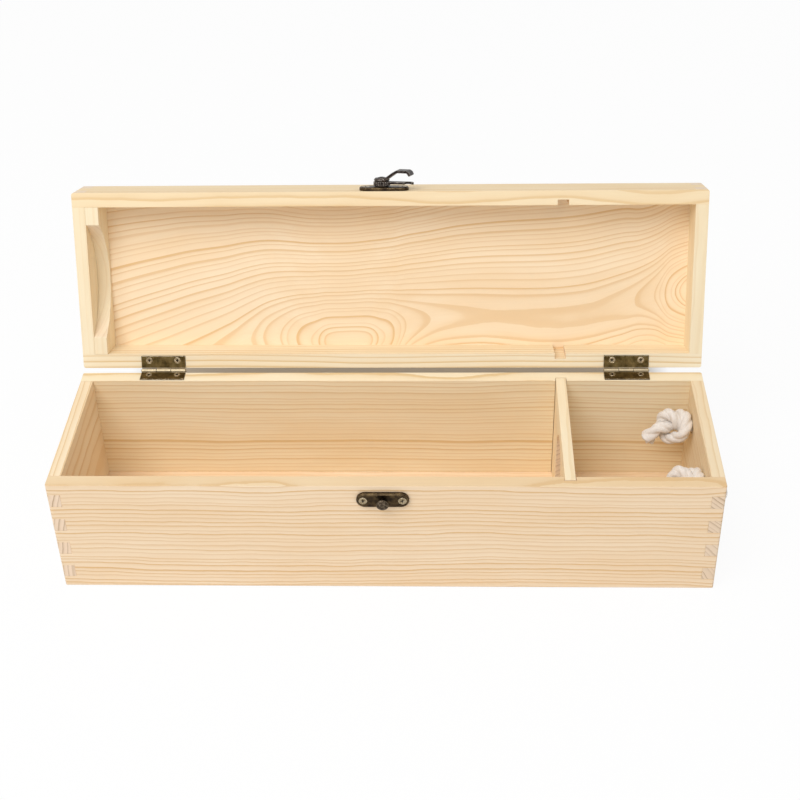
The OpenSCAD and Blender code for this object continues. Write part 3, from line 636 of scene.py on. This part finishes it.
# %% Round the edges
SANDED = 0.0003   # how wide the rounding of a sanded edge is


def soften(name, width, segments=2):
    """Rounds the edges of a CAD board without touching its mesh."""
    piece = nodes[name]
    weld = piece.modifiers.new("join the triangles", "WELD")
    weld.merge_threshold = 0.00001
    flat = piece.modifiers.new("one face for each side", "DECIMATE")
    flat.decimate_type, flat.angle_limit = "DISSOLVE", math.radians(1)
    bevel = piece.modifiers.new("sanded edges", "BEVEL")
    bevel.width, bevel.segments = width, segments
    bevel.limit_method, bevel.angle_limit = "ANGLE", math.radians(40)
    bevel.harden_normals = False


for name in BOARDS:
    soften(name, SANDED)
print("edges rounded on", len(BOARDS), "boards")

# %% [markdown]
# ## Dark brass
# The fittings are thin brass, chemically darkened and then rubbed, so corners
# and raised rims shine gold while the flats stay brown and blotchy and every
# recess is nearly black. Two shader nodes can find those places without any
# painting: Bevel compares a rounded normal with the real one, which marks the
# edges, and Ambient Occlusion marks the hollows.

# %% Aged metal finish
HOLLOW_BROWN = (0.008, 0.005, 0.003, 1)
# the painted shade in the middle of a screw head
CROSS_SHADE = (0.010, 0.006, 0.004, 1)
KNUCKLE_HIGHLIGHT = (0.0019, 0.0015)   # from the pin's axis: where the painted highlight starts, and where it is full
CROSS_SHADE_RIM = (0.00075, 0.0005)    # from the middle of a head: where the painted shade starts, and where it is full


def aged_metal(name, patina, brass, worn_and_highlight, blotch=300, recess=0.0010, pin=None, shade_spot=None):
    """Dark brass with worn edges; the knuckles round a given line along X get a painted highlight, and a disc
    round a given point, the middle of a screw's cross, gets a painted shade.
    """
    material = bpy.data.materials.new(name)
    material.use_nodes = True
    tree = material.node_tree
    shader = tree.nodes["Principled BSDF"]
    place = add(tree, "ShaderNodeTexCoord").outputs["Object"]
    clouds = add(tree, "ShaderNodeTexNoise", {"Vector": place, "Scale": blotch, "Detail": 4.0,
                                              "Roughness": 0.6}).outputs[0]
    grit = add(tree, "ShaderNodeTexNoise", {"Vector": place, "Scale": 2600.0, "Detail": 2.0}).outputs[0]
    rounded = add(tree, "ShaderNodeBevel", {"Radius": 0.0003}, samples=4).outputs[0]
    real = add(tree, "ShaderNodeNewGeometry").outputs["Normal"]
    level = add(tree, "ShaderNodeVectorMath", {0: rounded, 1: real}, operation="DOT_PRODUCT").outputs["Value"]
    edge = fade(tree, level, 0.985, 0.85)
    edge = sums(tree, "MULTIPLY", edge, fade(tree, clouds, 0.35, 0.55, 0.35, 1.0))
    hollow = fade(tree, add(tree, "ShaderNodeAmbientOcclusion", {"Distance": recess}, samples=8,
                            only_local=False).outputs["AO"], 0.8, 0.35)
    colour = blend_colours(tree, fade(tree, clouds, 0.38, 0.66), patina, brass)
    colour = blend_colours(tree, fade(tree, grit, 0.5, 0.8, 0.0, 0.5), colour, patina)
    colour = blend_colours(tree, edge, colour, worn_and_highlight)
    # a painted highlight along the hinge knuckles, in the colour of the worn edges
    if pin:
        flat = add(tree, "ShaderNodeVectorMath", {0: place, 1: (0, 1, 1)}, operation="MULTIPLY").outputs[0]
        far = add(tree, "ShaderNodeVectorMath", {0: flat, 1: pin}, operation="DISTANCE").outputs["Value"]
        colour = blend_colours(tree, fade(tree, far, *KNUCKLE_HIGHLIGHT, 0.0, 0.4), colour, worn_and_highlight)
    colour = blend_colours(tree, hollow, colour, HOLLOW_BROWN)
    # a painted shade: a dark disc over the middle of a screw's cross
    if shade_spot:
        far = add(tree, "ShaderNodeVectorMath", {0: place, 1: shade_spot}, operation="DISTANCE").outputs["Value"]
        colour = blend_colours(tree, fade(tree, far, *CROSS_SHADE_RIM), colour, CROSS_SHADE)
    tree.links.new(colour, shader.inputs["Base Color"])
    dull = sums(tree, "SUBTRACT", grit, sums(tree, "MULTIPLY", edge, 0.4))
    tree.links.new(fade(tree, dull, 0.1, 0.7, 0.24, 0.52), shader.inputs["Roughness"])
    bump = add(tree, "ShaderNodeBump", {"Height": sums(tree, "ADD", grit, clouds), "Strength": 0.25,
                                        "Distance": 0.0002, "Normal": rounded})
    tree.links.new(bump.outputs[0], shader.inputs["Normal"])
    shader.inputs["Metallic"].default_value = 1.0
    return material


joints = {joint["name"]: joint for joint in frame["record"]["behaviour"]["joints"]}
hinge_line = (0, *joints["lid_hinge"]["pos_m"][1:])
plate_brass = aged_metal("antique brass, darkened", (0.026, 0.017, 0.011, 1), (0.115, 0.076, 0.036, 1),
                         (0.42, 0.30, 0.16, 1))
# the hinge leaves: worn edges, and a painted highlight along the knuckles
leaf_brass = aged_metal("antique brass, rubbed", (0.070, 0.048, 0.016, 1), (0.200, 0.142, 0.056, 1),
                        (0.88, 0.74, 0.52, 1), pin=hinge_line)
stud_brass = aged_metal("antique brass stud", (0.035, 0.024, 0.015, 1), (0.190, 0.145, 0.100, 1),
                        (0.50, 0.42, 0.31, 1), blotch=900)
dark_bronze = aged_metal("dark bronze", (0.016, 0.012, 0.011, 1), (0.085, 0.068, 0.060, 1),
                         (0.62, 0.55, 0.47, 1))
print("hinge line at", hinge_line)

# %% [markdown]
# ## Screws
# A screw's head is rubbed bright, and the middle of it, over the cross, gets a
# painted shade. The cross is at the middle of the head, and the head is the
# screw's outer end, so the script can find it in the mesh. Each screw then gets a
# material of its own.

# %% Screw finish
OUTWARD = -Vector(joints["hook_swing"]["axis"]).normalized()   # out of the lid's front
SKIN = 0.00005                                                 # how thin the top of a head is taken


def screw_finish(name, piece):
    """Bright brass with a painted shade, a dark spot, in the middle of the head."""
    out = {"catch": -Y, "latch": OUTWARD}.get(name[:5], Z if "body" in name else -LID_UP)
    points = [vertex.co for vertex in piece.data.vertices]
    top = max(point.dot(out) for point in points)
    head = [point for point in points if point.dot(out) > top - SKIN]
    middle = Vector([(max(axis) + min(axis)) / 2 for axis in zip(*head)])
    return aged_metal("antique brass screw", (0.26, 0.19, 0.10, 1), (0.52, 0.42, 0.27, 1),
                      (0.92, 0.80, 0.60, 1), blotch=600, recess=0.0012, shade_spot=tuple(middle))


dressed = []
for name, piece in nodes.items():
    if "screw" in name:
        finish = screw_finish(name, piece)
    elif "hinge" in name:
        finish = leaf_brass
    elif name in ("latch_hook", "latch_rivet"):
        finish = dark_bronze
    elif "stud" in name:
        finish = stud_brass
    elif "plate" in name:
        finish = plate_brass
    else:
        continue
    piece.data.materials.clear()
    piece.data.materials.append(finish)
    dressed.append(name)
print("metal on", len(dressed), "fittings")

# %% [markdown]
# ## Ribs around the hook's drum
# The side of the drum that the hook turns on is cut into narrow upright ribs, so
# that a thumb can turn it. Nobody places nineteen ribs by hand. A Geometry
# Nodes tree puts one small bar on every point of a ring, and the number, the
# size and the place stay inputs that can be changed.

# %% Helpers for Geometry Nodes
def geometry_tree(name, inputs):
    """A new tree with named inputs and one geometry output."""
    tree = bpy.data.node_groups.new(name, "GeometryNodeTree")
    tree.interface.new_socket("Geometry", in_out="OUTPUT", socket_type="NodeSocketGeometry")
    for label, kind in inputs.items():
        tree.interface.new_socket(label, in_out="INPUT", socket_type="NodeSocket" + kind)
    return tree, tree.nodes.new("NodeGroupInput").outputs


def finish_tree(tree, given, geometry):
    """Moves the result to its place, makes it plain mesh, and gives it its material."""
    placed = add(tree, "GeometryNodeTransform", {"Geometry": geometry, "Translation": given["Place"],
                                                 "Rotation": given["Turn"]}).outputs[0]
    plain = add(tree, "GeometryNodeRealizeInstances", {"Geometry": placed}).outputs[0]
    done = add(tree, "GeometryNodeSetMaterial", {"Geometry": plain, "Material": given["Material"]}).outputs[0]
    tree.links.new(done, tree.nodes.new("NodeGroupOutput").inputs["Geometry"])


def grow(name, tree, body, slot, **values):
    """Runs a tree once with its inputs set, and keeps the result as a plain mesh on a body."""
    maker = bpy.data.objects.new(name + "_maker", bpy.data.meshes.new(name + "_maker"))
    bpy.context.scene.collection.objects.link(maker)
    modifier = maker.modifiers.new("nodes", "NODES")
    modifier.node_group = tree
    for item in tree.interface.items_tree:
        if item.in_out == "INPUT":
            modifier[item.identifier] = values[item.name.replace(" ", "_").lower()]
    ready = maker.evaluated_get(bpy.context.evaluated_depsgraph_get())
    mesh = bpy.data.meshes.new_from_object(ready)
    mesh.name = name
    bpy.data.objects.remove(maker)
    piece = bpy.data.objects.new(name, mesh)
    bpy.context.scene.collection.objects.link(piece)
    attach(piece, body)
    print(name, len(mesh.polygons), "faces")
    return piece


print("helpers:", geometry_tree.__name__, finish_tree.__name__, grow.__name__)

# %% The ribs
RIB_MIDDLE = 0.0037   # from the lid's front face to the middle of a rib
ribs, given = geometry_tree("ribs around a drum", {
    "Ribs": "Int", "Drum Radius": "Float", "Rib Radius": "Float", "Rib Height": "Float", "Place": "Vector",
    "Turn": "Vector", "Material": "Material"})
ring = add(ribs, "GeometryNodeMeshCircle", {"Vertices": given["Ribs"],
                                            "Radius": given["Drum Radius"]}).outputs[0]
bar = add(ribs, "GeometryNodeMeshCylinder", {"Vertices": 10, "Radius": given["Rib Radius"],
                                             "Depth": given["Rib Height"]}).outputs[0]
bars = add(ribs, "GeometryNodeInstanceOnPoints", {"Points": ring, "Instance": bar}).outputs[0]
finish_tree(ribs, given, bars)

drum_foot = Vector(joints["hook_swing"]["pos_m"])
drum_turn = Z.rotation_difference(OUTWARD).to_euler()
grow("hook_drum_ribs", ribs, "hook", "dark_metal", ribs=19, drum_radius=0.00425, rib_radius=0.0004,
     rib_height=0.0021, place=drum_foot + RIB_MIDDLE * OUTWARD, turn=drum_turn, material=dark_bronze)

# %% [markdown]
# ## Frayed ends of the rope
# Where the rope was cut, its yarns come loose and spread a little. Each knot's
# tail gets a tuft: points are scattered over the cut, one thin yarn is set on
# each, and a noise field bends every yarn its own way. The seed is fixed, so
# the tuft is the same on every run.

# %% The tufts
tuft, given = geometry_tree("tuft of loose yarns", {
    "Tuft Radius": "Float", "Yarns": "Float", "Yarn Length": "Float", "Yarn Radius": "Float",
    "Flare": "Float", "Seed": "Int", "Place": "Vector", "Turn": "Vector", "Material": "Material"})
disc = add(tuft, "GeometryNodeMeshCircle", {"Vertices": 24, "Radius": given["Tuft Radius"]},
           fill_type="NGON").outputs[0]
spots = add(tuft, "GeometryNodeDistributePointsOnFaces", {"Mesh": disc, "Density": given["Yarns"],
                                                          "Seed": given["Seed"]}).outputs[0]
tip = add(tuft, "ShaderNodeCombineXYZ", {2: given["Yarn Length"]}).outputs[0]
straight = add(tuft, "GeometryNodeCurvePrimitiveLine", {"Start": (0, 0, -0.001), "End": tip}).outputs[0]
yarn = add(tuft, "GeometryNodeResampleCurve", {"Curve": straight, "Count": 6}).outputs[0]
set_on = add(tuft, "GeometryNodeInstanceOnPoints", {"Points": spots, "Instance": yarn}).outputs[0]
yarns = add(tuft, "GeometryNodeRealizeInstances", {"Geometry": set_on}).outputs[0]
where = add(tuft, "GeometryNodeInputPosition").outputs[0]
split = add(tuft, "ShaderNodeSeparateXYZ", {0: where}).outputs
root = add(tuft, "ShaderNodeCombineXYZ", {0: split[0], 1: split[1]}).outputs[0]
sway = add(tuft, "ShaderNodeTexNoise", {"Vector": where, "Scale": 900.0, "Detail": 1.0}).outputs["Color"]
sway = add(tuft, "ShaderNodeVectorMath", {0: sway, 1: (0.5, 0.5, 0.7)}, operation="SUBTRACT").outputs[0]
sway = add(tuft, "ShaderNodeVectorMath", {0: sway, "Scale": 0.004}, operation="SCALE").outputs[0]
spread = add(tuft, "ShaderNodeVectorMath", {0: root, "Scale": given["Flare"]}, operation="SCALE").outputs[0]
both = add(tuft, "ShaderNodeVectorMath", {0: sway, 1: spread}, operation="ADD").outputs[0]
height = add(tuft, "ShaderNodeMath", {0: split[2], 1: given["Yarn Length"]}, operation="DIVIDE",
             use_clamp=True).outputs[0]
bend = add(tuft, "ShaderNodeVectorMath", {0: both, "Scale": height}, operation="SCALE").outputs[0]
loose = add(tuft, "GeometryNodeSetPosition", {"Geometry": yarns, "Offset": bend}).outputs[0]
section = add(tuft, "GeometryNodeCurvePrimitiveCircle", {"Resolution": 5,
                                                         "Radius": given["Yarn Radius"]}).outputs[0]
finish_tree(tuft, given, add(tuft, "GeometryNodeCurveToMesh", {"Curve": loose, "Profile Curve": section,
                                                              "Fill Caps": True}).outputs[0])
for name, tail, seed in (("tuft_back", back_tail, 3), ("tuft_front", front_tail, 8)):
    ahead = Vector(tail[1] - tail[0]).normalized()
    grow(name, tuft, "box", "cotton_rope", tuft_radius=0.0026, yarns=6.0e6, yarn_length=0.0016,
         yarn_radius=0.00016, flare=0.35, seed=seed, place=Vector(tail[1]) - 0.0002 * ahead,
         turn=Z.rotation_difference(ahead).to_euler(), material=cotton)

# %% [markdown]
# ## The light
# Soft light falls on the box from above, in front and a little to the left. One
# large round lamp gives the light its direction, and a pale world fills the
# shadows. World and table are pure white only where they are looked at or
# mirrored, so that they throw no extra light on the box. Light Path tells
# those rays apart.

# %% Light
LIGHT_PLACE = (-0.45, -0.7, 1.45)
LIGHT_AIM = (0, 0, 0.05)
WHITE = (1, 1, 1, 1)


def looked_at(tree):
    """1 for rays that come from the eye, a mirror or glass, and 0 for the rest."""
    ray = add(tree, "ShaderNodeLightPath").outputs
    mirrored = sums(tree, "MAXIMUM", ray["Is Glossy Ray"], ray["Is Transmission Ray"])
    return sums(tree, "MAXIMUM", ray["Is Camera Ray"], mirrored)


scene = bpy.context.scene
scene.view_settings.view_transform = "Standard"
world = bpy.data.worlds.new("studio")
scene.world = world
world.use_nodes = True
tree = world.node_tree
tree.links.new(fade(tree, looked_at(tree), 0, 1, 0.55, 1.0), tree.nodes["Background"].inputs["Strength"])
tree.nodes["Background"].inputs["Color"].default_value = WHITE

window = bpy.data.lights.new("window over the table", "AREA")
window.shape, window.size, window.energy = "DISK", 1.2, 16
lamp = bpy.data.objects.new("window over the table", window)
facing = (Vector(LIGHT_AIM) - Vector(LIGHT_PLACE)).to_track_quat("-Z", "Y")
lamp.matrix_world = Matrix.Translation(LIGHT_PLACE) @ facing.to_matrix().to_4x4()
scene.collection.objects.link(lamp)
print("one lamp of", window.energy, "W")

# %% [markdown]
# ## The table
# A sheet of white paper lies on the table. Close behind the box the paper's colour
# is a painted shade, a warm brown, and there the paper also gives up its white
# glow, so the real shadow shows as well; together they darken the narrow gap
# under the lid. Two distances from the box say where the painted shade fades out.

# %% Table
PAPER_WHITE = (0.9, 0.9, 0.9, 1)
# the paper's colour in the painted shade close behind the box
PAINTED_PAPER_SHADE = (0.55, 0.47, 0.37, 1)
SHADE_SIDE = (0.155, 0.175)   # the shade ends between these distances from X = 0
SHADE_MIDDLE = 0.10           # its middle line is this far behind the middle of the box
SHADE_DEPTH = (0.058, 0.10)   # and it ends between these distances from that line
mesh = bpy.data.meshes.new("table")
mesh.from_pydata([(-3, -3, 0), (3, -3, 0), (3, 3, 0), (-3, 3, 0)], [], [(0, 1, 2, 3)])
table = bpy.data.objects.new("table", mesh)
scene.collection.objects.link(table)
paper = bpy.data.materials.new("white paper")
paper.use_nodes = True
tree = paper.node_tree
shader = tree.nodes["Principled BSDF"]
shader.inputs["Roughness"].default_value = 0.9
white = add(tree, "ShaderNodeEmission", {"Color": WHITE, "Strength": 1.0})
place = add(tree, "ShaderNodeSeparateXYZ", {0: add(tree, "ShaderNodeTexCoord").outputs["Object"]}).outputs
beside = fade(tree, sums(tree, "ABSOLUTE", place[0]), *SHADE_SIDE)
behind = sums(tree, "ABSOLUTE", sums(tree, "SUBTRACT", place[1], SHADE_MIDDLE))
open_paper = sums(tree, "MAXIMUM", fade(tree, behind, *SHADE_DEPTH), beside)
share = sums(tree, "MULTIPLY", looked_at(tree), fade(tree, open_paper, 0, 1, 0.0, 0.93))
# the paper's colour: a painted shade close behind the box, white elsewhere
tree.links.new(blend_colours(tree, open_paper, PAINTED_PAPER_SHADE, PAPER_WHITE), shader.inputs["Base Color"])
both = add(tree, "ShaderNodeMixShader", {0: share, 1: shader.outputs[0], 2: white.outputs[0]})
tree.links.new(both.outputs[0], tree.nodes["Material Output"].inputs["Surface"])
mesh.materials.append(paper)
print("table:", len(mesh.polygons), "face, of", paper.name)
